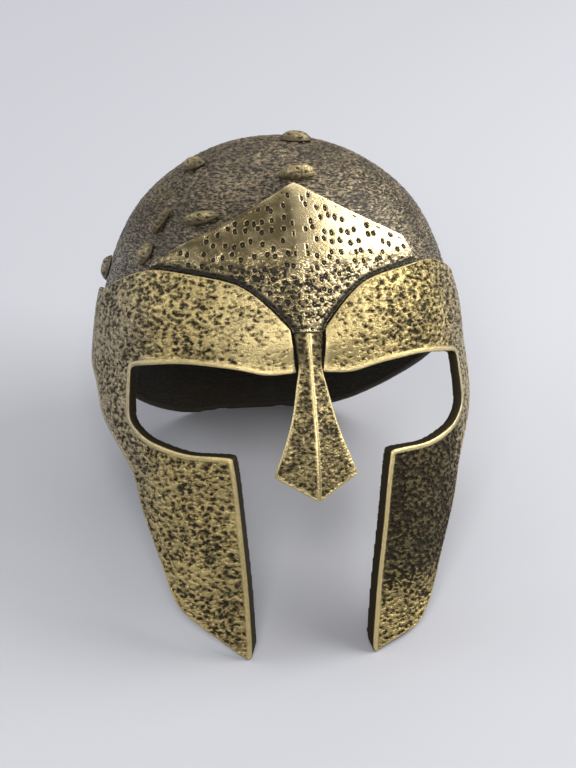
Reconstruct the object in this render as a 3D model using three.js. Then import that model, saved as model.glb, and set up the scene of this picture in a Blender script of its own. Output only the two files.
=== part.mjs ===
// Gladiator helmet: a hollow dome with a forehead plate, a nasal guard and two face guards.
// Millimetres, +Z up. The helmet is shaped upright in its own frame, with the face towards -Y,
// and the outer group lays it back, so that it rests on its cheek tips and its rear rim.
// Left and right are the wearer's, so left is +X.
import * as THREE from 'three';

// Driving dimensions
const domeBase = 165; // height at which the dome starts to close in
const domeHeight = 95; // from there up to the crown
const skullWall = 2.2;
const seatGap = 0.5; // from the curve to a plate on it, about 0.3 between their facets
const plateWall = 2.4; // brow band, forehead plate
const cheekWall = 2.0;
const nasalWall = 2.4;
const nasalBead = 0.8; // raised side edges of the nasal guard
const lipReach = 2.8; // turned-in lip of the face guards, along the surface
const lipDrop = 4.5; // and towards the head
const rimRise = 0.9; // raised edge along the eye openings and the face gap
const rimWidth = 4.5;
const lipWall = 1.6; // of the lip, along the surface
const napeBead = 1.6; // thicker edge of the rear rim
const napeBeadStart = 104; // angles from the front between which it grows
const napeBeadFull = 112;
const tipReach = 85; // cheek tips, forward of the axis
const napeReach = 100; // rear rim, behind the axis
const napeHeight = 96;
const offSkull = 138; // a guard's inner face changes seat between these heights,
const onSkull = 152; // because above them it lies on the skull

// Horizontal sections of the dome and of the guards that follow it. Power is their squareness,
// 2 being an ellipse. Above domeBase the reaches are multiplied by a quarter circle.
const sections = [
  { z: -20, side: 82, front: 87, rear: 88, power: 2.6 },
  { z: 0, side: 82.5, front: 88, rear: 90, power: 2.6 },
  { z: 40, side: 86, front: 91.5, rear: 92, power: 2.55 },
  { z: 75, side: 93, front: 96, rear: 96, power: 2.35 },
  { z: 120, side: 99, front: 97, rear: 100, power: 2.1 },
  { z: 150, side: 96.5, front: 87, rear: 103, power: 2.1 },
  { z: 165, side: 95, front: 84.5, rear: 104, power: 2.05 },
  { z: 182, side: 93.3, front: 79, rear: 104, power: 2.0 },
  { z: 205, side: 93.5, front: 74.5, rear: 104, power: 1.95 },
  { z: 230, side: 95, front: 74.5, rear: 104, power: 1.95 },
  { z: 260, side: 93, front: 75, rear: 104, power: 2.0 },
];

// Lower rim of the skull, by the angle from the front
const skullRim = [
  { angle: 0, z: 167 },
  { angle: 60, z: 167 },
  { angle: 76, z: 163 },
  { angle: 88, z: 152 },
  { angle: 99, z: 143 },
  { angle: 120, z: 122 },
  { angle: 145, z: 100 },
  { angle: 165, z: 91.5 },
  { angle: 180, z: 91.5 },
];

// Face guard, from the brow's inner end back to the temple and down to the cheek tip. The inner
// edge borders the eye opening and the face gap, and the outer edge is the top, rear and bottom.
const guardStations = [
  { innerAngle: 3.4, innerZ: 148, outerAngle: 5, outerZ: 169.5, bulge: 2.4, lip: 0, rim: 0.1 },
  { innerAngle: 12, innerZ: 147, outerAngle: 13, outerZ: 182, bulge: 3.0, lip: 0, rim: 0.1 },
  { innerAngle: 21, innerZ: 150, outerAngle: 22.5, outerZ: 191, bulge: 3.0, lip: 0, rim: 0.1 },
  { innerAngle: 37, innerZ: 152, outerAngle: 39, outerZ: 195, bulge: 2.4, lip: 0, rim: 0.2 },
  { innerAngle: 50, innerZ: 150, outerAngle: 55, outerZ: 196, bulge: 1.6, lip: 0, rim: 0.3 },
  { innerAngle: 57.5, innerZ: 148, outerAngle: 70, outerZ: 190, bulge: 1.0, lip: 0.1, rim: 0.6 },
  { innerAngle: 58.5, innerZ: 145, outerAngle: 85, outerZ: 182, bulge: 0.8, lip: 0.2, rim: 0.9 },
  { innerAngle: 58.5, innerZ: 140, outerAngle: 97, outerZ: 178, bulge: 0.6, lip: 0.2, rim: 1 },
  { innerAngle: 58.5, innerZ: 135, outerAngle: 98, outerZ: 146, bulge: 0.5, lip: 0.2, rim: 1 },
  { innerAngle: 58.5, innerZ: 129, outerAngle: 82, outerZ: 134, bulge: 0.4, lip: 0.2, rim: 1 },
  { innerAngle: 58, innerZ: 121, outerAngle: 76, outerZ: 119, bulge: 0.4, lip: 0.3, rim: 1 },
  { innerAngle: 52.5, innerZ: 114, outerAngle: 65.5, outerZ: 104, bulge: 0.4, lip: 0.5, rim: 1 },
  { innerAngle: 46, innerZ: 110.5, outerAngle: 59.5, outerZ: 92, bulge: 0.6, lip: 0.6, rim: 1 },
  { innerAngle: 36, innerZ: 107.5, outerAngle: 58, outerZ: 77, bulge: 0.8, lip: 0.6, rim: 1 },
  { innerAngle: 24, innerZ: 107, outerAngle: 54.5, outerZ: 58, bulge: 0.8, lip: 0.8, rim: 1 },
  { innerAngle: 21.8, innerZ: 102, outerAngle: 51, outerZ: 42, bulge: 0.8, lip: 1, rim: 1 },
  { innerAngle: 19.6, innerZ: 78, outerAngle: 46.5, outerZ: 26, bulge: 0.6, lip: 1, rim: 1 },
  { innerAngle: 17.4, innerZ: 42, outerAngle: 38.5, outerZ: 16, bulge: 0.4, lip: 1, rim: 1 },
  { innerAngle: 16.6, innerZ: 14, outerAngle: 27, outerZ: 7.5, bulge: 0.2, lip: 1, rim: 1 },
  { innerAngle: 16.4, innerZ: 1, outerAngle: 17.4, outerZ: -1, bulge: 0.0, lip: 1, rim: 0.6 },
];
const cheekTrim = { z: 16, reach: 14, left: -6, right: 2.5 }; // the corners are not a pair
const browStations = 5; // those whose outer edge is the brow's upper edge
const guardSteps = 64;
const panelColumns = [0.3, 0.55, 0.8, 0.94, 1];

// Forehead plate: its facets meet at a centre ridge, and its foot follows the brows
const plate = {
  footZ: 167.3,
  footAngle: 4.4, // the foot is level to here, between the brows
  apexZ: 237.5,
  shoulderAngle: 43.5, // the upper edges run straight to here, from the front
  shoulderZ: 209.5,
  rightCorner: 57, // angles of the side corners
  leftCorner: 46.5,
  apexRise: 3.0, // of the ridge over the dome, at the apex and at the foot
  footRise: 6.0,
  footFade: 0.65, // the facets sink towards the brows
  edgeRise: 2.2,
  edgeBow: 1.3, // 1 would be straight upper edges
  sag: 1.4, // flattening of each facet
  thinnest: 1.2,
  bead: 0.9, // along the upper edges
  groove: 0.7, // gap to the brows
};

// Nasal guard, from the brows down: the ridge and the side edge that falls back from it
const nasalRows = [
  { ridgeZ: 166.5, ridgeY: -90, edgeX: 7.6, edgeY: -87.8, edgeZ: 166.3 },
  { ridgeZ: 160, ridgeY: -92.5, edgeX: 6.7, edgeY: -89.5, edgeZ: 159 },
  { ridgeZ: 153, ridgeY: -94.5, edgeX: 5.9, edgeY: -91.5, edgeZ: 151.5 },
  { ridgeZ: 144, ridgeY: -97.5, edgeX: 7.8, edgeY: -94, edgeZ: 143 },
  { ridgeZ: 133, ridgeY: -102, edgeX: 9.6, edgeY: -97.5, edgeZ: 134 },
  { ridgeZ: 120, ridgeY: -107, edgeX: 12.4, edgeY: -100.5, edgeZ: 123 },
  { ridgeZ: 106, ridgeY: -110.5, edgeX: 16.5, edgeY: -102.5, edgeZ: 111.5 },
  { ridgeZ: 93, ridgeY: -112, edgeX: 20.3, edgeY: -103.5, edgeZ: 102 },
  { ridgeZ: 86, ridgeY: -112, edgeX: 21.5, edgeY: -103.5, edgeZ: 98 },
];

// Low bosses on the dome: place, length along and width across an axis turned from level by
// some degrees, and height
const bosses = [
  { name: 'boss_crown', angle: 32, z: 258.5, length: 17, width: 12, rise: 2.8, turn: -32 },
  { name: 'boss_front', angle: 4, z: 243.5, length: 18, width: 9, rise: 4.0, turn: 8 },
  { name: 'boss_right_upper', angle: -70, z: 246.5, length: 15, width: 10, rise: 3.4, turn: 20 },
  { name: 'boss_right_leaf', angle: -40, z: 223, length: 20, width: 9, rise: 2.6, turn: 15 },
  { name: 'boss_right_rib', angle: -58, z: 220, length: 18, width: 4.5, rise: 2.0, turn: 74 },
  { name: 'boss_right_lower', angle: -61.5, z: 204, length: 15, width: 10, rise: 2.6, turn: 70 },
  { name: 'boss_right_rear', angle: -97, z: 191, length: 15, width: 9, rise: 2.6, turn: 90 },
];

// Colours and surfaces
const metals = {
  skull: { color: 0x6f6a58, roughness: 0.55, metalness: 0.6 },
  plate: { color: 0xb59a55, roughness: 0.35, metalness: 0.8 },
  guard: { color: 0x8d7a48, roughness: 0.42, metalness: 0.75 },
};

const degree = Math.PI / 180;
const lerp = THREE.MathUtils.lerp;
const clamp = THREE.MathUtils.clamp;
const smoothstep = THREE.MathUtils.smoothstep;

// Smooth value of one column of a table at a position along its key column
function tableValue(rows, key, column, position) {
  const last = rows.length - 1;
  const at = clamp(position, rows[0][key], rows[last][key]);
  let i = 0;
  while (i < last - 1 && at > rows[i + 1][key]) {
    i += 1;
  }
  const before = rows[Math.max(i - 1, 0)];
  const start = rows[i];
  const end = rows[i + 1];
  const after = rows[Math.min(i + 2, last)];
  const span = end[key] - start[key];
  const startSlope = (end[column] - before[column]) / (end[key] - before[key]);
  const endSlope = (after[column] - start[column]) / (after[key] - start[key]);
  const t = (at - start[key]) / span;
  const t2 = t * t;
  const t3 = t2 * t;
  return (2 * t3 - 3 * t2 + 1) * start[column] + (t3 - 2 * t2 + t) * span * startSlope
    + (3 * t2 - 2 * t3) * end[column] + (t3 - t2) * span * endSlope;
}

// Level is the height below the dome, and above it the way along the dome's quarter circle
function levelOf(z) {
  if (z <= domeBase) {
    return z;
  }
  return domeBase + domeHeight * Math.asin(Math.min((z - domeBase) / domeHeight, 1));
}

const crownLevel = domeBase + domeHeight * Math.PI / 2;
const crownRange = 0.5; // so near the crown, square to the form is straight up

function signedPower(value, power) {
  return Math.sign(value) * Math.abs(value) ** power;
}

// Point of the helmet's form at an angle from the front, in degrees, and a level
function formPoint(angle, level) {
  const closing = Math.max(level - domeBase, 0) / domeHeight;
  const z = Math.min(level, domeBase) + domeHeight * Math.sin(closing);
  const round = Math.cos(closing);
  const across = Math.sin(angle * degree);
  const forward = Math.cos(angle * degree);
  const reach = tableValue(sections, 'z', forward > 0 ? 'front' : 'rear', z);
  const power = 2 / tableValue(sections, 'z', 'power', z);
  const x = tableValue(sections, 'z', 'side', z) * round * signedPower(across, power);
  const y = -reach * round * signedPower(forward, power);
  return new THREE.Vector3(x, y, z);
}

// The same point lifted off the form, square to it
function liftedPoint(angle, level, rise) {
  const point = formPoint(angle, level);
  if (crownLevel - level < crownRange) {
    return point.setZ(point.z + rise);
  }
  const step = 0.4;
  const along = formPoint(angle + step, level).sub(formPoint(angle - step, level));
  const up = formPoint(angle, level + step / 2).sub(formPoint(angle, level - step / 2));
  return point.addScaledVector(along.cross(up).normalize(), rise);
}

// Closed solid between an outer and an inner grid of points. A ring closes on itself along its
// columns, and the open edges of a grid are joined from one skin to the other.
function solidBetween(outer, inner, ring = false) {
  const keys = new Map();
  const positions = [];
  const indices = [];
  const rows = outer.length;
  const columns = outer[0].length;

  function indexOf(point) {
    const key = [point.x, point.y, point.z].map((value) => value.toFixed(3)).join(' ');
    if (!keys.has(key)) {
      keys.set(key, positions.length / 3);
      positions.push(point.x, point.y, point.z);
    }
    return keys.get(key);
  }

  function triangle(a, b, c) {
    const corners = [a, b, c].map(indexOf);
    if (new Set(corners).size === 3) {
      indices.push(...corners);
    }
  }

  function quad(a, b, c, d) {
    if (a.distanceTo(c) <= b.distanceTo(d)) {
      triangle(a, b, c);
      triangle(a, c, d);
    } else {
      triangle(a, b, d);
      triangle(b, c, d);
    }
  }

  const columnSteps = ring ? columns : columns - 1;
  for (let i = 0; i < rows - 1; i += 1) {
    for (let j = 0; j < columnSteps; j += 1) {
      const k = (j + 1) % columns;
      quad(outer[i][j], outer[i][k], outer[i + 1][k], outer[i + 1][j]);
      quad(inner[i][j], inner[i + 1][j], inner[i + 1][k], inner[i][k]);
    }
    if (!ring) {
      const end = columns - 1;
      quad(outer[i][0], outer[i + 1][0], inner[i + 1][0], inner[i][0]);
      quad(outer[i][end], inner[i][end], inner[i + 1][end], outer[i + 1][end]);
    }
  }
  for (let j = 0; j < columnSteps; j += 1) {
    const k = (j + 1) % columns;
    const end = rows - 1;
    quad(outer[0][k], outer[0][j], inner[0][j], inner[0][k]);
    quad(outer[end][j], outer[end][k], inner[end][k], inner[end][j]);
  }

  const geometry = new THREE.BufferGeometry();
  geometry.setAttribute('position', new THREE.Float32BufferAttribute(positions, 3));
  geometry.setIndex(indices);
  return facingOut(geometry);
}

// Turns every triangle round if the solid came out inside out
function facingOut(geometry) {
  const position = geometry.getAttribute('position');
  const index = geometry.getIndex();
  const corner = [new THREE.Vector3(), new THREE.Vector3(), new THREE.Vector3()];
  let volume = 0;
  for (let i = 0; i < index.count; i += 3) {
    corner.forEach((vector, k) => vector.fromBufferAttribute(position, index.getX(i + k)));
    volume += corner[0].dot(corner[1].clone().cross(corner[2]));
  }
  if (volume < 0) {
    for (let i = 0; i < index.count; i += 3) {
      const second = index.getX(i + 1);
      index.setX(i + 1, index.getX(i + 2));
      index.setX(i + 2, second);
    }
  }
  return geometry;
}

// The floor as the laid back helmet meets it: through the cheek tips and the rear rim
const layBack = Math.atan2(napeHeight, napeReach + tipReach);
const floorNormal = new THREE.Vector3(0, -Math.sin(layBack), Math.cos(layBack));
const floorPlane = new THREE.Plane().setFromNormalAndCoplanarPoint(
  floorNormal,
  new THREE.Vector3(0, napeReach, napeHeight),
);

// Flattens what would reach below the floor
function rested(geometry) {
  const position = geometry.getAttribute('position');
  const point = new THREE.Vector3();
  for (let i = 0; i < position.count; i += 1) {
    point.fromBufferAttribute(position, i);
    const height = floorPlane.distanceToPoint(point);
    if (height < 0) {
      point.addScaledVector(floorNormal, -height);
      position.setXYZ(i, point.x, point.y, point.z);
    }
  }
  return geometry;
}

function meshOf(name, geometry, metal) {
  const faceted = geometry.toNonIndexed();
  faceted.computeVertexNormals();
  const mesh = new THREE.Mesh(faceted, new THREE.MeshStandardMaterial(metal));
  mesh.name = name;
  return mesh;
}

// Skull: a thin dome, its rear rim with a bead, its front rim plain under the brows
function skull() {
  const angleSteps = 56;
  const levelSteps = 14;
  const beadShare = 0.9; // of the way down, where the bead starts
  const spread = 0.9; // under 1 puts the rows closer together towards the rim
  const outer = [];
  const inner = [];
  for (let i = 0; i <= levelSteps; i += 1) {
    const outerRow = [];
    const innerRow = [];
    for (let j = 0; j < angleSteps; j += 1) {
      const angle = 360 * j / angleSteps;
      const fromFront = Math.min(angle, 360 - angle);
      const rimLevel = levelOf(tableValue(skullRim, 'angle', 'z', fromFront));
      const share = i / levelSteps;
      const beadAround = smoothstep(fromFront, napeBeadStart, napeBeadFull);
      const bead = napeBead * beadAround * smoothstep(share, beadShare, 1);
      const level = lerp(crownLevel, rimLevel, share ** spread);
      outerRow.push(liftedPoint(angle, level, bead));
      innerRow.push(liftedPoint(angle, level, -skullWall));
    }
    outer.push(outerRow);
    inner.push(innerRow);
  }
  return solidBetween(outer, inner, true);
}

const guardInner = new THREE.SplineCurve(
  guardStations.map((row) => new THREE.Vector2(row.innerAngle, row.innerZ)),
);
const guardOuter = new THREE.SplineCurve(
  guardStations.map((row) => new THREE.Vector2(row.outerAngle, row.outerZ)),
);

// Value of a station column at a fractional place along the guard
function stationValue(column, place) {
  const start = Math.min(Math.floor(place), guardStations.length - 2);
  return lerp(guardStations[start][column], guardStations[start + 1][column], place - start);
}

// Face guard on one side: left is 1, right is -1. Its columns run from the turned-in lip over
// the raised rim and across the panel to the outer edge.
function faceGuard(side) {
  const rimColumns = [
    { onLip: true, inset: 1, reach: -lipReach, rise: -lipDrop },
    { onLip: false, inset: 1, reach: -0.4, rise: 0.2 },
    { onLip: false, inset: 0.6, reach: 0.6, rise: rimRise },
    { onLip: false, inset: 0, reach: rimWidth * 0.6, rise: rimRise * 0.7 },
    { onLip: false, inset: 0, reach: rimWidth, rise: 0 },
  ];
  const outer = [];
  const inner = [];
  for (let i = 0; i <= guardSteps; i += 1) {
    const edge = guardInner.getPoint(i / guardSteps);
    const back = guardOuter.getPoint(i / guardSteps);
    const nearCorner = 1 - Math.min(Math.abs(back.y - cheekTrim.z) / cheekTrim.reach, 1);
    back.y += nearCorner * (side > 0 ? cheekTrim.left : cheekTrim.right);
    const place = (guardStations.length - 1) * i / guardSteps;
    const bulge = stationValue('bulge', place);
    const lip = stationValue('lip', place);
    const rim = stationValue('rim', place);
    const edgePoint = formPoint(edge.x, levelOf(edge.y));
    const width = edgePoint.distanceTo(formPoint(back.x, levelOf(back.y)));
    const fit = Math.min(1, width / rimWidth / 2);
    const rimEnd = fit * rimWidth / width;
    const columns = rimColumns.map((row) => ({
      onLip: row.onLip,
      inset: fit * row.inset * lipWall / width,
      share: fit * row.reach / width * (row.onLip ? lip : 1),
      rise: fit * row.rise * (row.onLip ? 1 : rim),
    }));
    for (const part of panelColumns) {
      const rise = bulge * Math.sin(Math.PI * part);
      columns.push({ onLip: false, inset: 0, share: lerp(rimEnd, 1, part), rise });
    }
    const outerRow = [];
    const innerRow = [];
    for (const column of columns) {
      const angle = side * lerp(edge.x, back.x, column.share);
      const z = lerp(edge.y, back.y, column.share);
      const top = seatGap + plateWall + column.rise;
      outerRow.push(liftedPoint(angle, levelOf(z), top));
      const inside = column.share + column.inset;
      const insideAngle = side * lerp(edge.x, back.x, inside);
      const insideZ = lerp(edge.y, back.y, inside);
      const below = 1 - smoothstep(insideZ, offSkull, onSkull);
      const seat = seatGap + (plateWall - cheekWall) * below;
      innerRow.push(liftedPoint(insideAngle, levelOf(insideZ), column.onLip ? top : seat));
    }
    outer.push(outerRow);
    inner.push(innerRow);
  }
  return rested(solidBetween(outer, inner));
}

// Height of the brow's upper edge at an angle from the front, found by halving
function browTop(angle) {
  const halvings = 30;
  let low = 0;
  let high = (browStations - 1) / (guardStations.length - 1);
  for (let i = 0; i < halvings; i += 1) {
    const middle = (low + high) / 2;
    if (guardOuter.getPoint(middle).x < angle) {
      low = middle;
    } else {
      high = middle;
    }
  }
  return guardOuter.getPoint((low + high) / 2).y;
}

// Height of the forehead plate's upper edge: straight to the shoulder, then down to the corner
function plateTop(angle, corner) {
  if (angle <= plate.shoulderAngle) {
    const across = Math.sin(angle * degree) / Math.sin(plate.shoulderAngle * degree);
    return lerp(plate.apexZ, plate.shoulderZ, across ** plate.edgeBow);
  }
  const cornerZ = browTop(corner) + plate.groove;
  const past = (angle - plate.shoulderAngle) / (corner - plate.shoulderAngle);
  return lerp(plate.shoulderZ, cornerZ, past);
}

// Height of its lower edge: level between the brows, then along their upper edges
function plateFoot(angle) {
  const innerBrow = guardStations[0].outerAngle;
  return angle <= plate.footAngle
    ? plate.footZ
    : browTop(Math.max(angle, innerBrow)) + plate.groove;
}

// Forehead plate: columns from the right corner over the ridge to the left corner
function foreheadPlate() {
  const facetAngles = [0, 2.4, plate.footAngle, 5.2, 8.5, 13, 18, 23, 29, 35, 40, plate.shoulderAngle];
  const cornerColumns = 3;
  const halfColumns = facetAngles.length - 1 + cornerColumns;
  const rowShares = [0, 0.1, 0.3, 0.5, 0.7, 0.86, 0.94, 1];
  const beadRows = [0.82, 0.93]; // between these the bead grows
  const fadeRow = 0.3; // below this the facets sink
  const outer = rowShares.map(() => []);
  const inner = rowShares.map(() => []);
  for (let j = -halfColumns; j <= halfColumns; j += 1) {
    const corner = j < 0 ? plate.rightCorner : plate.leftCorner;
    const past = Math.abs(j) - facetAngles.length + 1;
    const angle = past <= 0
      ? facetAngles[Math.abs(j)]
      : lerp(plate.shoulderAngle, corner, past / cornerColumns);
    const out = angle / corner;
    const foot = plateFoot(angle);
    const top = plateTop(angle, corner);
    rowShares.forEach((share, i) => {
      const z = lerp(foot, top, share);
      const ridge = lerp(plate.footRise, plate.apexRise, share);
      const bead = plate.bead * smoothstep(share, ...beadRows) * Math.min(1, 4 * (1 - out));
      const fade = lerp(plate.footFade, 1, smoothstep(share, 0, fadeRow));
      const facet = lerp(ridge, plate.edgeRise, out) - plate.sag * Math.sin(Math.PI * out);
      const rise = fade * facet + bead;
      const turned = Math.sign(j) * angle;
      outer[i].push(liftedPoint(turned, levelOf(z), seatGap + Math.max(rise, plate.thinnest)));
      inner[i].push(liftedPoint(turned, levelOf(z), seatGap));
    });
  }
  return solidBetween(outer, inner);
}

// Nasal guard: rows from the brows down, columns from the right edge over the ridge to the left
function nasalGuard() {
  const steps = 20;
  const beadFoot = 0.7;
  const beadTop = 0.86;
  const columnShares = [-1, -beadTop, -beadFoot, -0.35, 0, 0.35, beadFoot, beadTop, 1];
  const innerTaper = 0.96;
  const rows = nasalRows.map((row, k) => ({ ...row, place: k }));
  const outer = [];
  const inner = [];
  for (let i = 0; i <= steps; i += 1) {
    const position = (nasalRows.length - 1) * i / steps;
    const value = (column) => tableValue(rows, 'place', column, position);
    const outerRow = [];
    const innerRow = [];
    for (const share of columnShares) {
      const out = Math.abs(share);
      const bead = nasalBead * (smoothstep(out, beadFoot, beadTop) - smoothstep(out, beadTop, 1));
      const x = share * value('edgeX');
      const y = lerp(value('ridgeY'), value('edgeY'), out) - bead;
      const z = lerp(value('ridgeZ'), value('edgeZ'), out);
      outerRow.push(new THREE.Vector3(x, y, z));
      innerRow.push(new THREE.Vector3(x * innerTaper, y + bead + nasalWall, z));
    }
    outer.push(outerRow);
    inner.push(innerRow);
  }
  return solidBetween(outer, inner);
}

// Boss: a low oval cap that follows the dome
function boss(row) {
  const ringSteps = 16;
  const ringShares = [1, 0.85, 0.6, 0.3, 0];
  const footHeight = 0.5;
  const leastReach = 6; // keeps the boss on the crown narrow in angle
  const level = levelOf(row.z);
  const middle = formPoint(row.angle, level);
  const reach = Math.max(Math.hypot(middle.x, middle.y), leastReach);
  const turn = row.turn * degree;
  const outer = [];
  const inner = [];
  for (const share of ringShares) {
    const outerRow = [];
    const innerRow = [];
    for (let j = 0; j < ringSteps; j += 1) {
      const around = 2 * Math.PI * j / ringSteps;
      const long = share * row.length / 2 * Math.cos(around);
      const wide = share * row.width / 2 * Math.sin(around);
      const sideways = long * Math.cos(turn) - wide * Math.sin(turn);
      const upwards = long * Math.sin(turn) + wide * Math.cos(turn);
      const angle = row.angle + sideways / reach / degree;
      const height = footHeight + row.rise * Math.sqrt(1 - share * share);
      outerRow.push(liftedPoint(angle, level + upwards, seatGap + height));
      innerRow.push(liftedPoint(angle, level + upwards, seatGap));
    }
    outer.push(outerRow);
    inner.push(innerRow);
  }
  return solidBetween(outer, inner, true);
}

const helmet = new THREE.Group();
helmet.add(meshOf('skull', rested(skull()), metals.skull));
helmet.add(meshOf('forehead_plate', foreheadPlate(), metals.plate));
helmet.add(meshOf('nasal_guard', nasalGuard(), metals.plate));
helmet.add(meshOf('face_guard_left', faceGuard(1), metals.guard));
helmet.add(meshOf('face_guard_right', faceGuard(-1), metals.guard));
for (const row of bosses) {
  helmet.add(meshOf(row.name, boss(row), metals.skull));
}

// Laid back on the floor, with the middle of its outline above the origin
helmet.rotation.x = -layBack;
helmet.position.z = floorPlane.constant;
const outline = new THREE.Box3().setFromObject(helmet, true);
helmet.position.y -= (outline.min.y + outline.max.y) / 2;

const group = new THREE.Group();
group.add(helmet);

export default group;
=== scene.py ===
# Gladiator helmet: the looks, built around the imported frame
# Metres, Z up, the face side towards -Y. Left and right are the wearer's.
import math
import bpy
from mathutils import Matrix, Vector


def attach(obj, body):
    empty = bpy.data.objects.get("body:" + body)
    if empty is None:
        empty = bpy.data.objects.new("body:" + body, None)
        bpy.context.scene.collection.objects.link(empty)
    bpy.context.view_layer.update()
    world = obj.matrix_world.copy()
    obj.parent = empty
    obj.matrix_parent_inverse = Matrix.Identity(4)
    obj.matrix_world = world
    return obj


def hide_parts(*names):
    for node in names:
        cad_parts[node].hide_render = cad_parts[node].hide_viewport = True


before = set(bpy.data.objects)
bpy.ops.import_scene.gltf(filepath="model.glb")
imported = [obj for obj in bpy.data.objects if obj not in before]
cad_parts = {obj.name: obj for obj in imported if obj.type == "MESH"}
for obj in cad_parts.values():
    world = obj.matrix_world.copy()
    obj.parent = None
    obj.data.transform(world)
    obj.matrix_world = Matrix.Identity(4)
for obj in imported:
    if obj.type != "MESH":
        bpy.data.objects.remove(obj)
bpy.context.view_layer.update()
print("frame loaded, nodes:", len(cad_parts))

# How the helmet lies: tipped back about X until its cheek tips and rear rim meet the floor
lying = {
    "tipReach": 0.085,      # cheek tips, in front of the helmet's own axis
    "napeReach": 0.100,     # rear rim, behind it
    "napeHeight": 0.096,    # rear rim above the cheek tips, when upright
    "axisY": -0.0499,       # where the upright frame's origin comes to lie
}

millimetre = 0.001
noiseMiddle = 0.5       # noise runs from 0 to 1 about this

tipBack = math.atan2(lying["napeHeight"], lying["napeReach"] + lying["tipReach"])
axisZ = lying["napeReach"] * math.sin(tipBack) - lying["napeHeight"] * math.cos(tipBack)
uprightOrigin = Vector((0, lying["axisY"], axisZ))
uprightToRow = Matrix.Translation(uprightOrigin) @ Matrix.Rotation(-tipBack, 4, "X")


# selects one object and makes it active
def selectOnly(obj):
    bpy.ops.object.select_all(action="DESELECT")
    obj.select_set(True)
    bpy.context.view_layer.objects.active = obj


# applies one modifier with the given settings
def applyModifier(obj, kind, settings):
    selectOnly(obj)
    modifier = obj.modifiers.new(kind.lower(), kind)
    for key, value in settings.items():
        setattr(modifier, key, value)
    bpy.ops.object.modifier_apply(modifier=modifier.name)


# adds a node and wires its inputs, which are sockets or plain values
def addNode(tree, kind, inputs=None, **settings):
    made = tree.nodes.new(kind)
    for key, value in settings.items():
        setattr(made, key, value)
    for key, value in (inputs or {}).items():
        if isinstance(value, bpy.types.NodeSocket):
            tree.links.new(value, made.inputs[key])
        else:
            made.inputs[key].default_value = value
    return made


def mathNode(tree, operation, first, second=0.0):
    return addNode(tree, "ShaderNodeMath", {0: first, 1: second}, operation=operation).outputs[0]


def times(tree, first, second):
    return mathNode(tree, "MULTIPLY", first, second)


def larger(tree, first, second):
    return mathNode(tree, "MAXIMUM", first, second)


# 1 where the value is 0 and 0 where it is 1
def opposite(tree, value):
    return mathNode(tree, "SUBTRACT", 1.0, value)


def vectorNode(tree, operation, first, second):
    made = addNode(tree, "ShaderNodeVectorMath", {0: first, 1: second}, operation=operation)
    return made.outputs[0]


def scaled(tree, vector, factor):
    made = addNode(tree, "ShaderNodeVectorMath", {0: vector}, operation="SCALE")
    if isinstance(factor, bpy.types.NodeSocket):
        tree.links.new(factor, made.inputs["Scale"])
    else:
        made.inputs["Scale"].default_value = factor
    return made.outputs[0]


# 0 below low, 1 above high, smooth between; low above high turns it round
def rise(tree, value, low, high):
    made = addNode(
        tree, "ShaderNodeMapRange",
        {"Value": value, "From Min": low, "From Max": high},
        interpolation_type="SMOOTHSTEP",
    )
    return made.outputs[0]


def noise(tree, vector, size, detail=2.0, roughness=0.5):
    return addNode(
        tree, "ShaderNodeTexNoise",
        {"Vector": vector, "Scale": 1 / size, "Detail": detail, "Roughness": roughness},
    )


# the chart moved about by noise, so that a pattern's cells come out irregular
def warped(tree, chart, size, amount):
    colour = noise(tree, chart, size, detail=1.0).outputs[1]
    centred = vectorNode(tree, "SUBTRACT", colour, (noiseMiddle, noiseMiddle, noiseMiddle))
    return vectorNode(tree, "ADD", chart, scaled(tree, centred, amount))


def partsOf(tree, vector):
    return addNode(tree, "ShaderNodeSeparateXYZ", {0: vector}).outputs


# height in the chart
def heightOf(tree, chart):
    return partsOf(tree, chart)[2]


# distance from the chart's middle plane, on either side
def sideOf(tree, chart):
    return mathNode(tree, "ABSOLUTE", partsOf(tree, chart)[0])


# Relief patterns. Each gives 1 on the surface and 0 at the bottom of its pits. The chart is in
# millimetres in the helmet's upright frame. Edge is the distance to the piece's own edge, and
# rim the distance to an edge that is kept bright and smooth.
hammered = {
    "size": 2.9,        # of the pits and of the curling ridges between them
    "stretch": (1, 1, 1.5),
    "detail": 2.2,      # octaves of the noise
    "warpSize": 6.0,
    "warp": 2.0,
    "pitFrom": 0.29,    # noise from a pit's bottom to a ridge's top
    "pitTo": 0.64,
    "patchSize": 17.0,  # where the pits crowd and where they thin out
    "patch": 0.22,
    "calm": 0.12,       # fewer pits on the brows' inner ends
    "calmHigh": (140.0, 144.0),
    "calmSide": (62.0, 22.0),
    "ridge": 0.0,       # smooth along a centre ridge
    "ridgeFade": 1.2,
    "rimHigh": (-50.0, -60.0),  # heights between which the rims come and the valleys go
    "rim": 2.2,
    "rimFade": 1.6,
    "outerRim": 0.8,
    "outerFade": 0.7,
    "depth": 0.95,
}


# 1 on the brows' inner ends, 0 elsewhere
def browEnds(tree, chart, values):
    high = rise(tree, heightOf(tree, chart), *values["calmHigh"])
    near = rise(tree, sideOf(tree, chart), *values["calmSide"])
    return times(tree, high, near)


# 1 along the middle plane, for a piece that is ridged there
def alongRidge(tree, chart, values):
    width = values["ridge"]
    return rise(tree, sideOf(tree, chart), width + values["ridgeFade"], width)


# 1 low on a piece, 0 high up
def lowDown(tree, chart, values):
    return rise(tree, heightOf(tree, chart), *values["rimHigh"])


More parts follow.
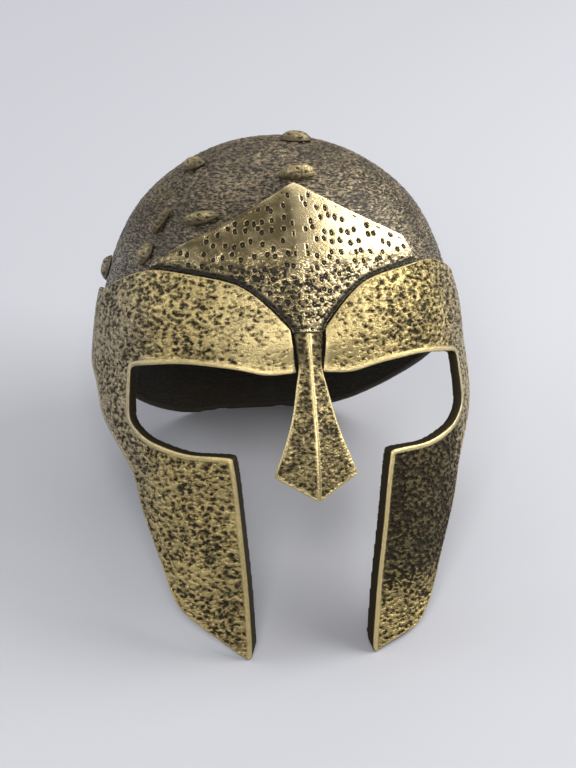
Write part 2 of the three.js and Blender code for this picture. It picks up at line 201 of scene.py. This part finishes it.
def hammeredLevel(tree, chart, edge, rim, values):
    stretched = vectorNode(tree, "MULTIPLY", chart, values["stretch"])
    moved = warped(tree, stretched, values["warpSize"], values["warp"])
    field = noise(tree, moved, values["size"], values["detail"]).outputs[0]
    patches = noise(tree, chart, values["patchSize"], detail=1.0).outputs[0]
    patches = mathNode(tree, "SUBTRACT", patches, noiseMiddle)
    field = mathNode(tree, "ADD", field, times(tree, patches, values["patch"]))
    if values["calm"]:
        calm = times(tree, browEnds(tree, chart, values), values["calm"])
        field = mathNode(tree, "ADD", field, calm)
    level = rise(tree, field, values["pitFrom"], values["pitTo"])
    smooth = rise(tree, rim, values["rim"] + values["rimFade"], values["rim"])
    outer = rise(tree, edge, values["outerRim"] + values["outerFade"], values["outerRim"])
    smooth = larger(tree, smooth, outer)
    if values["ridge"]:
        smooth = times(tree, smooth, lowDown(tree, chart, values))
        smooth = larger(tree, smooth, alongRidge(tree, chart, values))
    return larger(tree, level, smooth)


wrinkled = dict(
    hammered,
    size=2.4,
    stretch=(1, 1, 2.9),    # the wrinkles run level
    warpSize=9.0,
    warp=5.0,
    pitFrom=0.30,
    pitTo=0.68,
    patchSize=22.0,
    patch=0.12,
    calm=0.0,
    rimFade=1.5,
    depth=0.9,
)

ridged = dict(
    hammered,
    size=2.5,
    calm=0.0,
    ridge=0.8,
    rim=0.8,
    rimFade=1.0,
    rimHigh=(158.0, 148.0),
    depth=0.5,
)

punched = {
    "pitch": 5.8,       # from pit to pit
    "jitter": 0.75,
    "pitInner": 0.16,   # shares of the pitch
    "pitOuter": 0.28,
    "pitCentre": 0.10,  # the bottom of a pit is bright again
    "pitShine": 0.65,
    "warpSize": 2.0,
    "warp": 1.3,
    "rim": 2.2,
    "rimFade": 1.0,
    "ridge": 1.9,       # smooth along the centre ridge
    "ridgeFade": 1.2,
    "radius": 78.0,     # to lay the punched field out flat
    "roughHigh": (211.0, 193.0),    # heights between which the foot turns rough
    "depth": 0.7,
}

plateFoot = dict(hammered, calm=0.0, size=2.6, patch=0.1, rim=0.4, rimFade=0.5, outerRim=0.3)


def punchedLevel(tree, chart, edge, rim, values):
    sideways, backwards, height = partsOf(tree, chart)
    turn = mathNode(tree, "ARCTAN2", sideways, times(tree, backwards, -1.0))
    across = times(tree, turn, values["radius"])
    flat = addNode(tree, "ShaderNodeCombineXYZ", {0: across, 1: height}).outputs[0]
    moved = warped(tree, flat, values["warpSize"], values["warp"])
    cells = addNode(
        tree, "ShaderNodeTexVoronoi",
        {"Vector": moved, "Scale": 1 / values["pitch"], "Randomness": values["jitter"]},
        voronoi_dimensions="2D",
    )
    apart = cells.outputs["Distance"]
    pits = rise(tree, apart, values["pitInner"], values["pitOuter"])
    centres = rise(tree, apart, values["pitCentre"], 0.0)
    pits = larger(tree, pits, times(tree, centres, values["pitShine"]))
    smooth = rise(tree, rim, values["rim"] + values["rimFade"], values["rim"])
    smooth = larger(tree, smooth, alongRidge(tree, chart, values))
    rough = rise(tree, height, *values["roughHigh"])
    lumps = hammeredLevel(tree, chart, edge, rim, plateFoot)
    lumps = larger(tree, lumps, opposite(tree, rough))
    return mathNode(tree, "MINIMUM", larger(tree, pits, smooth), lumps)


# Geometry nodes that measure a piece and press its pattern in. They leave attributes for the
# paint: chart, outward (1 outside, 0 on side walls, below 0 inside), edge, rim and edgeBelow.
skin = {
    "sideWall": 0.35,   # faces that lean out or in less than this are the piece's side walls
    "lipWall": 0.62,    # and these, where they face the eye or the face gap
    "domeFrom": 150.0,  # below this height outward is level
    "outside": (0.3, 0.6),      # the pattern comes in between these
    "inside": (-0.2, -0.5),     # and the bare inner face between these
}


def reliefNodes(name, levelOf, values, piece):
    tree = bpy.data.node_groups.new(name, "GeometryNodeTree")
    tree.interface.new_socket("Geometry", in_out="INPUT", socket_type="NodeSocketGeometry")
    tree.interface.new_socket("Geometry", in_out="OUTPUT", socket_type="NodeSocketGeometry")
    start = tree.nodes.new("NodeGroupInput").outputs[0]
    position = tree.nodes.new("GeometryNodeInputPosition").outputs[0]
    normal = tree.nodes.new("GeometryNodeInputNormal").outputs[0]

    def turned(vector, angle):
        made = addNode(
            tree, "ShaderNodeVectorRotate", {"Vector": vector, "Angle": angle},
            rotation_type="X_AXIS",
        )
        return made.outputs[0]

    def dot(first, second):
        made = addNode(
            tree, "ShaderNodeVectorMath", {0: first, 1: second}, operation="DOT_PRODUCT",
        )
        return made.outputs["Value"]

    def distanceTo(isWall):
        walls = addNode(
            tree, "GeometryNodeSeparateGeometry", {0: start, 1: isWall}, domain="FACE",
        )
        nearest = addNode(
            tree, "GeometryNodeProximity", {0: walls.outputs[0]}, target_element="FACES",
        )
        away = times(tree, nearest.outputs["Distance"], 1 / millimetre)
        return away, nearest.outputs["Position"]

    fromOrigin = vectorNode(tree, "SUBTRACT", position, uprightOrigin)
    chart = scaled(tree, turned(fromOrigin, tipBack), 1 / millimetre)
    facing = turned(normal, tipBack)
    sideways, backwards, height = partsOf(tree, chart)
    upwards = larger(tree, mathNode(tree, "SUBTRACT", height, skin["domeFrom"]), 0.0)
    away = addNode(tree, "ShaderNodeCombineXYZ", {0: sideways, 1: backwards, 2: upwards})
    unit = addNode(
        tree, "ShaderNodeVectorMath", {0: away.outputs[0]}, operation="NORMALIZE",
    ).outputs[0]
    outward = dot(facing, unit)

    lean = mathNode(tree, "ABSOLUTE", outward)
    isSide = mathNode(tree, "LESS_THAN", lean, skin["sideWall"])
    edge, edgePlace = distanceTo(isSide)
    upwardsAxis = uprightToRow.to_3x3() @ Vector((0, 0, 1))
    toEdge = vectorNode(tree, "SUBTRACT", edgePlace, position)
    below = mathNode(tree, "LESS_THAN", dot(toEdge, upwardsAxis), 0.0)
    rim = edge
    if piece["rimCentres"]:
        isRim = 0.0
        for centre in piece["rimCentres"]:
            towards = vectorNode(tree, "SUBTRACT", centre, chart)
            faces = mathNode(tree, "GREATER_THAN", dot(facing, towards), 0.0)
            isRim = larger(tree, faces, isRim)
        isLip = mathNode(tree, "LESS_THAN", lean, skin["lipWall"])
        rim = distanceTo(times(tree, isRim, isLip))[0]

    kept = start
    for label, kind, value in (
        ("chart", "FLOAT_VECTOR", chart),
        ("outward", "FLOAT", outward),
        ("edge", "FLOAT", edge),
        ("rim", "FLOAT", rim),
        ("edgeBelow", "FLOAT", below),
    ):
        kept = addNode(
            tree, "GeometryNodeStoreNamedAttribute",
            {"Geometry": kept, "Name": label, "Value": value},
            data_type=kind, domain="POINT",
        ).outputs[0]

    level = levelOf(tree, chart, edge, rim, values)
    outside = rise(tree, outward, *skin["outside"])
    pressed = times(tree, mathNode(tree, "SUBTRACT", level, 1.0), outside)
    depth = times(tree, pressed, values["depth"] * millimetre)
    shift = scaled(tree, normal, depth)
    if piece["sink"]:
        swell = times(tree, rise(tree, edge, 0.0, piece["bulgeAt"]), outside)
        swell = mathNode(tree, "SUBTRACT", times(tree, swell, piece["bulge"]), piece["sink"])
        shift = vectorNode(tree, "ADD", shift, scaled(tree, turned(unit, -tipBack), swell))
    if piece["reach"]:
        toPlate = uprightToRow.to_3x3() @ Vector(piece["reach"])
        near = rise(tree, height, *piece["reachHigh"])
        shift = vectorNode(tree, "ADD", shift, scaled(tree, toPlate, near))
    placed = addNode(
        tree, "GeometryNodeSetPosition",
        {"Geometry": kept, "Offset": shift},
    )
    end = tree.nodes.new("NodeGroupOutput")
    tree.links.new(placed.outputs[0], end.inputs[0])
    return tree


# Antique paint: bright metal on what stands proud, a dark wash in the pits, and painted
# highlights, reflection and shade in places
def antiquePaint(name, levelOf, relief, values):
    material = bpy.data.materials.new(name)
    material.use_nodes = True
    tree = material.node_tree
    shader = tree.nodes["Principled BSDF"]
    shader.inputs["Coat Weight"].default_value = values["coat"]
    shader.inputs["Coat Roughness"].default_value = values["coatRough"]

    def stored(label, output):
        made = addNode(tree, "ShaderNodeAttribute", attribute_name=label)
        return made.outputs[output]

    chart = stored("chart", "Vector")
    edge = stored("edge", "Fac")
    rim = stored("rim", "Fac")
    outward = stored("outward", "Fac")
    level = levelOf(tree, chart, edge, rim, relief)

    def colourMix(factor, first, second):
        made = tree.nodes.new("ShaderNodeMix")
        made.data_type = "RGBA"
        for index, value in ((0, factor), (6, first), (7, second)):
            if isinstance(value, bpy.types.NodeSocket):
                tree.links.new(value, made.inputs[index])
            else:
                made.inputs[index].default_value = value
        return made.outputs[2]

    cloud = noise(tree, chart, values["cloudSize"], detail=3.0, roughness=0.6).outputs[0]
    speck = noise(tree, chart, values["speckSize"], detail=2.0, roughness=0.6).outputs[0]
    clouds = times(tree, cloud, values["cloudShare"])
    specks = times(tree, speck, 1 - values["cloudShare"])
    tone = rise(tree, mathNode(tree, "ADD", clouds, specks), *values["tone"])
    metal = colourMix(tone, values["metalDeep"], values["metal"])
    edgeWear = rise(tree, rim, values["wearWidth"] + values["wearFade"], values["wearWidth"])
    if values["valley"]:
        edgeWear = times(tree, edgeWear, lowDown(tree, chart, relief))
        edgeWear = larger(tree, edgeWear, alongRidge(tree, chart, relief))
    metal = colourMix(times(tree, edgeWear, values["wear"]), metal, values["bright"])
    if values["topWear"]:
        proud = times(tree, rise(tree, edge, *values["topEdge"]), values["topWear"])
        metal = colourMix(proud, metal, values["bright"])
    shadeDeepening = 0.0
    # painted shade low on the cheek's front: a darker colour and a heavier wash
    if values["lowShade"]:
        height = heightOf(tree, chart)
        shade = rise(tree, height, *values["shadeHigh"])
        shade = times(tree, shade, rise(tree, height, *values["shadeLow"]))
        shade = times(tree, shade, rise(tree, partsOf(tree, chart)[0], *values["shadeSide"]))
        shade = times(tree, shade, values["lowShade"])
        shade = times(tree, shade, opposite(tree, edgeWear))
        metal = colourMix(shade, metal, values["shadeColour"])
        shadeDeepening = times(tree, shade, values["lowWash"])
    # painted reflection: greyer and paler round the sides
    if values["sideTone"]:
        aside = rise(tree, sideOf(tree, chart), *values["sideFade"])
        metal = colourMix(times(tree, aside, values["sideMost"]), metal, values["sideTone"])
    # painted shade with patchy stain over the right half
    if values["stain"]:
        rightHalf = rise(tree, partsOf(tree, chart)[0], *values["stainEdge"])
        patchy = noise(tree, chart, values["stainPatch"], detail=3.0, roughness=0.6).outputs[0]
        patchy = rise(tree, patchy, *values["stainFade"])
        patchy = times(tree, patchy, 1 - values["stainLeast"])
        patchy = mathNode(tree, "ADD", patchy, values["stainLeast"])
        stain = times(tree, times(tree, rightHalf, patchy), values["stain"])
        metal = colourMix(stain, metal, values["stainColour"])
    # painted highlight on the brows' inner ends
    if values["browGlow"]:
        glow = times(tree, browEnds(tree, chart, relief), values["browGlow"])
        metal = colourMix(glow, metal, values["bright"])
    # painted highlight round one place
    if values["glowAt"]:
        apart = addNode(
            tree, "ShaderNodeVectorMath", {0: chart, 1: values["glowAt"]}, operation="DISTANCE",
        )
        near = rise(tree, apart.outputs["Value"], values["glowFar"], 0.0)
        metal = colourMix(times(tree, near, tone), metal, values["glow"])

    grime = noise(tree, chart, values["grimeSize"], detail=4.0, roughness=0.65).outputs[0]
    uneven = times(tree, mathNode(tree, "SUBTRACT", grime, noiseMiddle), values["grime"])
    lifted = mathNode(tree, "ADD", level, mathNode(tree, "SUBTRACT", uneven, shadeDeepening))
    clean = rise(tree, lifted, values["washFrom"], values["washTo"])
    # painted shade round a boss's foot
    if values["footGrime"]:
        footShaded = times(tree, rise(tree, edge, *values["footEdge"]), values["footGrime"])
        clean = times(tree, clean, opposite(tree, footShaded))
    if values["footShade"]:
        shade = rise(tree, edge, *values["footShade"])
        shade = times(tree, shade, stored("edgeBelow", "Fac"))
        shade = times(tree, shade, rise(tree, sideOf(tree, chart), *values["footSide"]))
        clean = times(tree, clean, opposite(tree, shade))
    if values["valley"]:
        shade = rise(tree, sideOf(tree, chart), *values["valleySide"])
        shade = times(tree, shade, opposite(tree, lowDown(tree, chart, relief)))
        clean = times(tree, clean, opposite(tree, times(tree, shade, values["valley"])))
    # side walls take the wash colour, on the lips partly painted shade
    painted = times(tree, clean, rise(tree, outward, values["wallFrom"], values["wallTo"]))
    colour = colourMix(painted, values["wash"], metal)
    colour = colourMix(rise(tree, outward, *skin["inside"]), colour, values["bare"])
    tree.links.new(colour, shader.inputs["Base Color"])

    # from the wash's value to the metal's
    def washToMetal(low, high):
        made = addNode(
            tree, "ShaderNodeMapRange", {"Value": painted, "To Min": low, "To Max": high},
        )
        return made.outputs[0]

    metalness = washToMetal(values["metalnessLow"], values["metalness"])
    tree.links.new(metalness, shader.inputs["Metallic"])
    rough = washToMetal(values["roughnessLow"], values["roughness"])
    tree.links.new(rough, shader.inputs["Roughness"])

    fine = noise(tree, chart, values["grainSize"], detail=3.0, roughness=0.6).outputs[0]
    height = mathNode(tree, "ADD", level, times(tree, fine, values["grain"]))
    bump = addNode(
        tree, "ShaderNodeBump",
        {
            "Height": height,
            "Strength": values["bump"],
            "Distance": relief["depth"] * millimetre,
        },
    )
    tree.links.new(bump.outputs[0], shader.inputs["Normal"])
    return material


making = {
    "mergeWithin": 0.00001,
    "alongRows": 1.4,   # how far the quads keep to the rows of the mesh
    "divisions": 2,
    "evenness": 0.5,
    "quickVoxel": 1.4,
}


# Builds a piece from its node: merged, smoothed, evened out, then pressed with its pattern
def dressed(nodeName, pieceName, values, levelOf, relief, paint):
    piece = bpy.data.objects.new(pieceName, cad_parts[nodeName].data.copy())
    bpy.context.collection.objects.link(piece)
    piece.data.materials.clear()
    selectOnly(piece)
    bpy.ops.object.mode_set(mode="EDIT")
    bpy.ops.mesh.select_mode(type="EDGE")
    bpy.ops.mesh.select_all(action="SELECT")
    bpy.ops.mesh.remove_doubles(threshold=making["mergeWithin"])
    bpy.ops.mesh.tris_convert_to_quads(
        face_threshold=math.pi, shape_threshold=math.pi, topology_influence=making["alongRows"],
    )
    bpy.ops.mesh.select_all(action="DESELECT")
    bpy.ops.mesh.edges_select_sharp(sharpness=math.radians(values["sharp"]))
    bpy.ops.transform.edge_crease(value=values["crease"])
    bpy.ops.object.mode_set(mode="OBJECT")
    levels = making["divisions"]
    applyModifier(piece, "SUBSURF", {"levels": levels, "render_levels": levels})
    voxel = values["voxel"] * 1.0
    applyModifier(piece, "REMESH", {"mode": "VOXEL", "voxel_size": voxel})
    applyModifier(piece, "SMOOTH", {"factor": making["evenness"], "iterations": values["smooth"]})
    selectOnly(piece)
    pressing = piece.modifiers.new("relief", "NODES")
    pressing.node_group = reliefNodes(pieceName + "_relief", levelOf, relief, values)
    bpy.ops.object.modifier_apply(modifier=pressing.name)
    bpy.ops.object.shade_smooth()
    piece.data.materials.append(paint)
    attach(piece, "root")
    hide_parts(nodeName)
    print(pieceName, "triangles:", sum(len(p.vertices) - 2 for p in piece.data.polygons))


# Skull: wrinkled dark bronze
skullPiece = {
    "sharp": 50,        # degrees, from which an edge is creased
    "crease": 0.6,
    "voxel": 0.00147,
    "smooth": 3,
    "rimCentres": (),   # side walls that face one of these are rims
    "sink": 0.0,        # how far a boss is let into the dome
    "reach": (),        # how far the nasal guard's top is drawn towards the plate
}
bronze = {
    "metal": (0.295, 0.229, 0.136, 1),
    "metalDeep": (0.115, 0.088, 0.053, 1),
    "bright": (0.40, 0.34, 0.22, 1),
    "wash": (0.020, 0.0148, 0.0085, 1),
    "tone": (0.38, 0.62),   # mixed noise from the deep to the full metal
    "sideTone": (0.31, 0.285, 0.245, 1),    # painted reflection: greyer and paler round the sides, where the surface is seen edge on
    "sideFade": (68.0, 94.0),
    "sideMost": 0.75,
    "bare": (0.060, 0.048, 0.030, 1),
    "wallFrom": 0.12,   # side walls lean out less than this and stay dark: the wash, and on the turned-in lips partly painted shade
    "wallTo": 0.5,
    "valley": 0.0,      # dark beside the ridge, high on the nasal guard
    "valleySide": (1.4, 3.6),
    "lowShade": 0.0,    # painted shade low on a cheek's front: a darker colour and a heavier wash
    "shadeHigh": (126.0, 110.0),
    "shadeLow": (14.0, 54.0),
    "shadeSide": (94.0, 76.0),
    "shadeColour": (0.20, 0.152, 0.062, 1),
    "lowWash": 0.55,    # how much further the wash spreads in that painted shade
    "topWear": 0.0,     # brighter away from the edges
    "topEdge": (0.8, 3.6),
    "browGlow": 0.0,    # painted highlight on the brows' inner ends
    "glow": (0.52, 0.42, 0.25, 1),  # painted highlight: brighter, warmer metal round one place, here above the top of the forehead plate
    "glowAt": (50.0, -54.0, 216.0),
    "glowFar": 58.0,
    "stain": 0.0,       # painted shade, with patchy stain: a darker film over the right half
    "stainEdge": (1.0, -5.0),
    "stainPatch": 9.0,
    "stainFade": (0.30, 0.60),
    "stainLeast": 0.55,
    "coat": 0.26,       # clear lacquer, pale where it is seen edge on
    "coatRough": 0.40,
    "cloudSize": 24.0,
    "cloudShare": 0.5,  # the specks have the rest
    "speckSize": 1.7,
    "grimeSize": 1.5,
    "grime": 0.9,
    "washFrom": 0.04,
    "washTo": 0.98,
    "wearWidth": 0.8,   # worn bright along the rims
    "wearFade": 1.0,
    "wear": 0.5,
    "footShade": (),    # dark along the forehead plate's foot
    "footSide": (3.0, 8.0),
    "footGrime": 0.0,   # painted shade in the crease round a boss's foot
    "footEdge": (2.2, 0.4),
    "metalness": 0.65,
    "metalnessLow": 0.5,    # of the wash
    "roughness": 0.40,
    "roughnessLow": 0.62,
    "grainSize": 0.9,
    "grain": 0.45,
    "bump": 1.0,
}
bronzePaint = antiquePaint("antique_bronze", hammeredLevel, wrinkled, bronze)
dressed("skull", "skull_shell", skullPiece, hammeredLevel, wrinkled, bronzePaint)

# Face guards: coarse hammered gold with smooth bright rims along the eyes and the face gap
guardPiece = dict(skullPiece, sharp=65, voxel=0.00069)
eyeCentre = (45.0, -80.0, 128.0)
gapCentre = (0.0, -95.0, 60.0)
gold = dict(
    bronze,
    metal=(0.56, 0.437, 0.182, 1),
    metalDeep=(0.32, 0.247, 0.102, 1),
    bright=(0.78, 0.63, 0.31, 1),
    wash=(0.026, 0.019, 0.0075, 1),
    wallFrom=0.50,
    wallTo=0.72,
    # painted highlight on the brows' inner ends and painted reflection round the sides
    browGlow=0.50,
    glowAt=(),
    sideTone=(0.30, 0.255, 0.185, 1),
    washFrom=0.04,
    washTo=0.96,
    coat=0.16,
    wearWidth=1.6,
    wear=0.85,
    metalness=0.8,
    metalnessLow=0.75,
    roughness=0.32,
)
for side in ("left", "right"):
    outwards = 1 if side == "left" else -1
    eye = (outwards * eyeCentre[0], eyeCentre[1], eyeCentre[2])
    rims = dict(guardPiece, rimCentres=(eye, gapCentre))
    ownGold = dict(gold, wear=0.45)
    if side == "left":
        # the left cheek gets painted shade low on its front and a weaker painted highlight on its
        # brow
        ownGold = dict(gold, wear=0.8, lowShade=0.95, browGlow=0.25, coat=0.05)
    goldPaint = antiquePaint("hammered_gold_" + side, hammeredLevel, hammered, ownGold)
    dressed(
        "face_guard_" + side, "face_plating_" + side, rims,
        hammeredLevel, hammered, goldPaint,
    )

# Forehead plate: bright, with punched pits, rough and dark along its foot
platePiece = dict(skullPiece, sharp=24, crease=0.75, voxel=0.00044)
plateGold = dict(
    gold,
    metal=(0.70, 0.57, 0.33, 1),
    metalDeep=(0.48, 0.37, 0.18, 1),
    bright=(0.82, 0.69, 0.41, 1),
    wash=(0.014, 0.011, 0.006, 1),
    wallFrom=0.12,
    wallTo=0.5,
    browGlow=0.0,
    washFrom=0.15,
    washTo=0.80,
    grime=0.40,
    speckSize=4.0,
    sideTone=(),
    # painted shade with patchy stain on the right facet
    stain=0.92,
    stainColour=(0.135, 0.102, 0.042, 1),
    wearWidth=1.2,
    footShade=(3.8, 1.3),
    roughness=0.27,
    bump=0.4,
)
platePaint = antiquePaint("punched_gold", punchedLevel, punched, plateGold)
dressed(
    "forehead_plate", "forehead_plating", platePiece,
    punchedLevel, punched, platePaint,
)

# Nasal guard: hammered like the cheeks, with a smooth ridge and rim, let into the plate's foot
nasalPiece = dict(
    platePiece,
    voxel=0.00036,
    reach=(0, 0.0010, 0.0018),
    reachHigh=(160.0, 166.5),
)
nasalGold = dict(
    gold,
    metal=(0.31, 0.242, 0.104, 1),
    metalDeep=(0.19, 0.147, 0.064, 1),
    wear=0.6,
    sideTone=(),
    wallFrom=0.12,
    wallTo=0.5,
    valley=0.65,
    browGlow=0.0,
    # painted shade with patchy stain on the right face
    stain=0.15,
    stainColour=(0.20, 0.155, 0.07, 1),
)
nasalPaint = antiquePaint("ridged_gold", hammeredLevel, ridged, nasalGold)
dressed(
    "nasal_guard", "nasal_plating", nasalPiece,
    hammeredLevel, ridged, nasalPaint,
)

# Bosses: low lumps of the same moulding as the dome, worn brighter on top
bossPiece = dict(
    skullPiece,
    crease=0.0,
    voxel=0.00045,
    smooth=14,
    sink=0.0009,
    bulge=0.0014,       # rounder on top
    bulgeAt=4.5,        # millimetres inside the edge, where the bulge is full
)
ribPiece = dict(bossPiece, smooth=8, sink=0.0004, bulgeAt=1.6)  # narrow, so let in less
lump = dict(
    wrinkled,
    size=2.8,
    stretch=(1, 1, 2.0),
    pitFrom=0.22,
    pitTo=0.58,
    patch=0.05,
    rim=0.0,
    rimFade=0.1,
    outerRim=0.0,
    depth=0.4,
)
bossBronze = dict(
    bronze,
    metal=(0.22, 0.171, 0.088, 1),
    metalDeep=(0.125, 0.097, 0.050, 1),
    # painted reflection round the sides
    sideTone=(0.22, 0.19, 0.14, 1),
    coat=0.12,
    # painted highlight on the front boss
    glowAt=(10.0, -42.0, 243.0),
    glow=(0.62, 0.50, 0.24, 1),
    glowFar=26.0,
    wear=0.0,
    topWear=0.70,
    bright=(0.33, 0.26, 0.125, 1),
    # painted shade round the foot
    footGrime=0.45,
    grime=0.6,
    wallFrom=-0.9,
    wallTo=-0.8,
)
bossPaint = antiquePaint("worn_bronze", hammeredLevel, lump, bossBronze)
for boss in sorted(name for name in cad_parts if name.startswith("boss_")):
    cap = boss.replace("boss_", "") + "_cap"
    ownPiece = ribPiece if boss == "boss_right_rib" else bossPiece
    dressed(boss, cap, ownPiece, hammeredLevel, lump, bossPaint)

print("helmet pieces done")

# Floor
floorLook = {"size": 14.0, "colour": (0.47, 0.476, 0.512, 1), "roughness": 0.8}
bpy.ops.mesh.primitive_plane_add(size=floorLook["size"])
floor = bpy.context.object
floor.name = "floor"
floorMaterial = bpy.data.materials.new("pale_floor")
floorMaterial.use_nodes = True
floorShader = floorMaterial.node_tree.nodes["Principled BSDF"]
floorShader.inputs["Base Color"].default_value = floorLook["colour"]
floorShader.inputs["Roughness"].default_value = floorLook["roughness"]
floor.data.materials.append(floorMaterial)

# Lights, placed in the helmet's upright frame and aimed at it
lamps = {
    "side": {"at": (0.95, -0.26, 0.78), "size": 0.85, "watts": 16, "colour": (1.0, 0.99, 0.96)},
    "left": {"at": (-1.25, 0.05, 0.80), "size": 0.9, "watts": 8, "colour": (0.93, 0.96, 1.0)},
    "front": {"at": (-0.32, -1.30, 0.62), "size": 0.45, "watts": 10, "colour": (1.0, 0.98, 0.95)},
    "top": {"at": (0.0, 0.20, 1.70), "size": 1.6, "watts": 11, "colour": (1.0, 1.0, 1.0)},
}
lampAim = 0.13          # height in the upright helmet
aim = uprightToRow @ Vector((0, 0, lampAim))
for name, lamp in lamps.items():
    light = bpy.data.lights.new(name, "AREA")
    light.energy = lamp["watts"]
    light.size = lamp["size"]
    light.color = lamp["colour"]
    holder = bpy.data.objects.new(name, light)
    bpy.context.collection.objects.link(holder)
    holder.location = uprightToRow @ Vector(lamp["at"])
    holder.rotation_euler = (aim - holder.location).to_track_quat("-Z", "Y").to_euler()

studio = {"colour": (0.80, 0.82, 0.87, 1), "strength": 0.22}
world = bpy.data.worlds.new("studio")
bpy.context.scene.world = world
world.use_nodes = True
background = world.node_tree.nodes["Background"]
background.inputs["Color"].default_value = studio["colour"]
background.inputs["Strength"].default_value = studio["strength"]
bpy.context.scene.view_settings.view_transform = "Standard"

# Camera, at the photograph's angle to the upright helmet, tipped back with it
view = {
    "azimuth": -10.0,       # from straight in front towards the wearer's right
    "elevation": 11.0,
    "roll": -0.9,
    "distance": 1.4,
    "aimHeight": 0.1255,
    "lens": 121.9,          # millimetres, as is the sensor
    "sensor": 36,
    "shiftX": 0.0117,
}
azimuth = math.radians(view["azimuth"])
elevation = math.radians(view["elevation"])
roll = math.radians(view["roll"])
towardsCamera = Vector((
    math.sin(azimuth) * math.cos(elevation),
    -math.cos(azimuth) * math.cos(elevation),
    math.sin(elevation),
))
level = Vector((math.cos(azimuth), math.sin(azimuth), 0))
upright = towardsCamera.cross(level)
rightAxis = math.cos(roll) * level + math.sin(roll) * upright
upAxis = math.cos(roll) * upright - math.sin(roll) * level
place = Vector((0, 0, view["aimHeight"])) + view["distance"] * towardsCamera
cameraFrame = Matrix((rightAxis, upAxis, towardsCamera)).transposed().to_4x4()
camera = bpy.data.objects.new("camera", bpy.data.cameras.new("camera"))
bpy.context.collection.objects.link(camera)
camera.matrix_world = uprightToRow @ Matrix.Translation(place) @ cameraFrame
camera.data.lens = view["lens"]
camera.data.sensor_width = view["sensor"]
camera.data.shift_x = view["shiftX"]
bpy.context.scene.camera = camera
print("stage, lights and camera done")
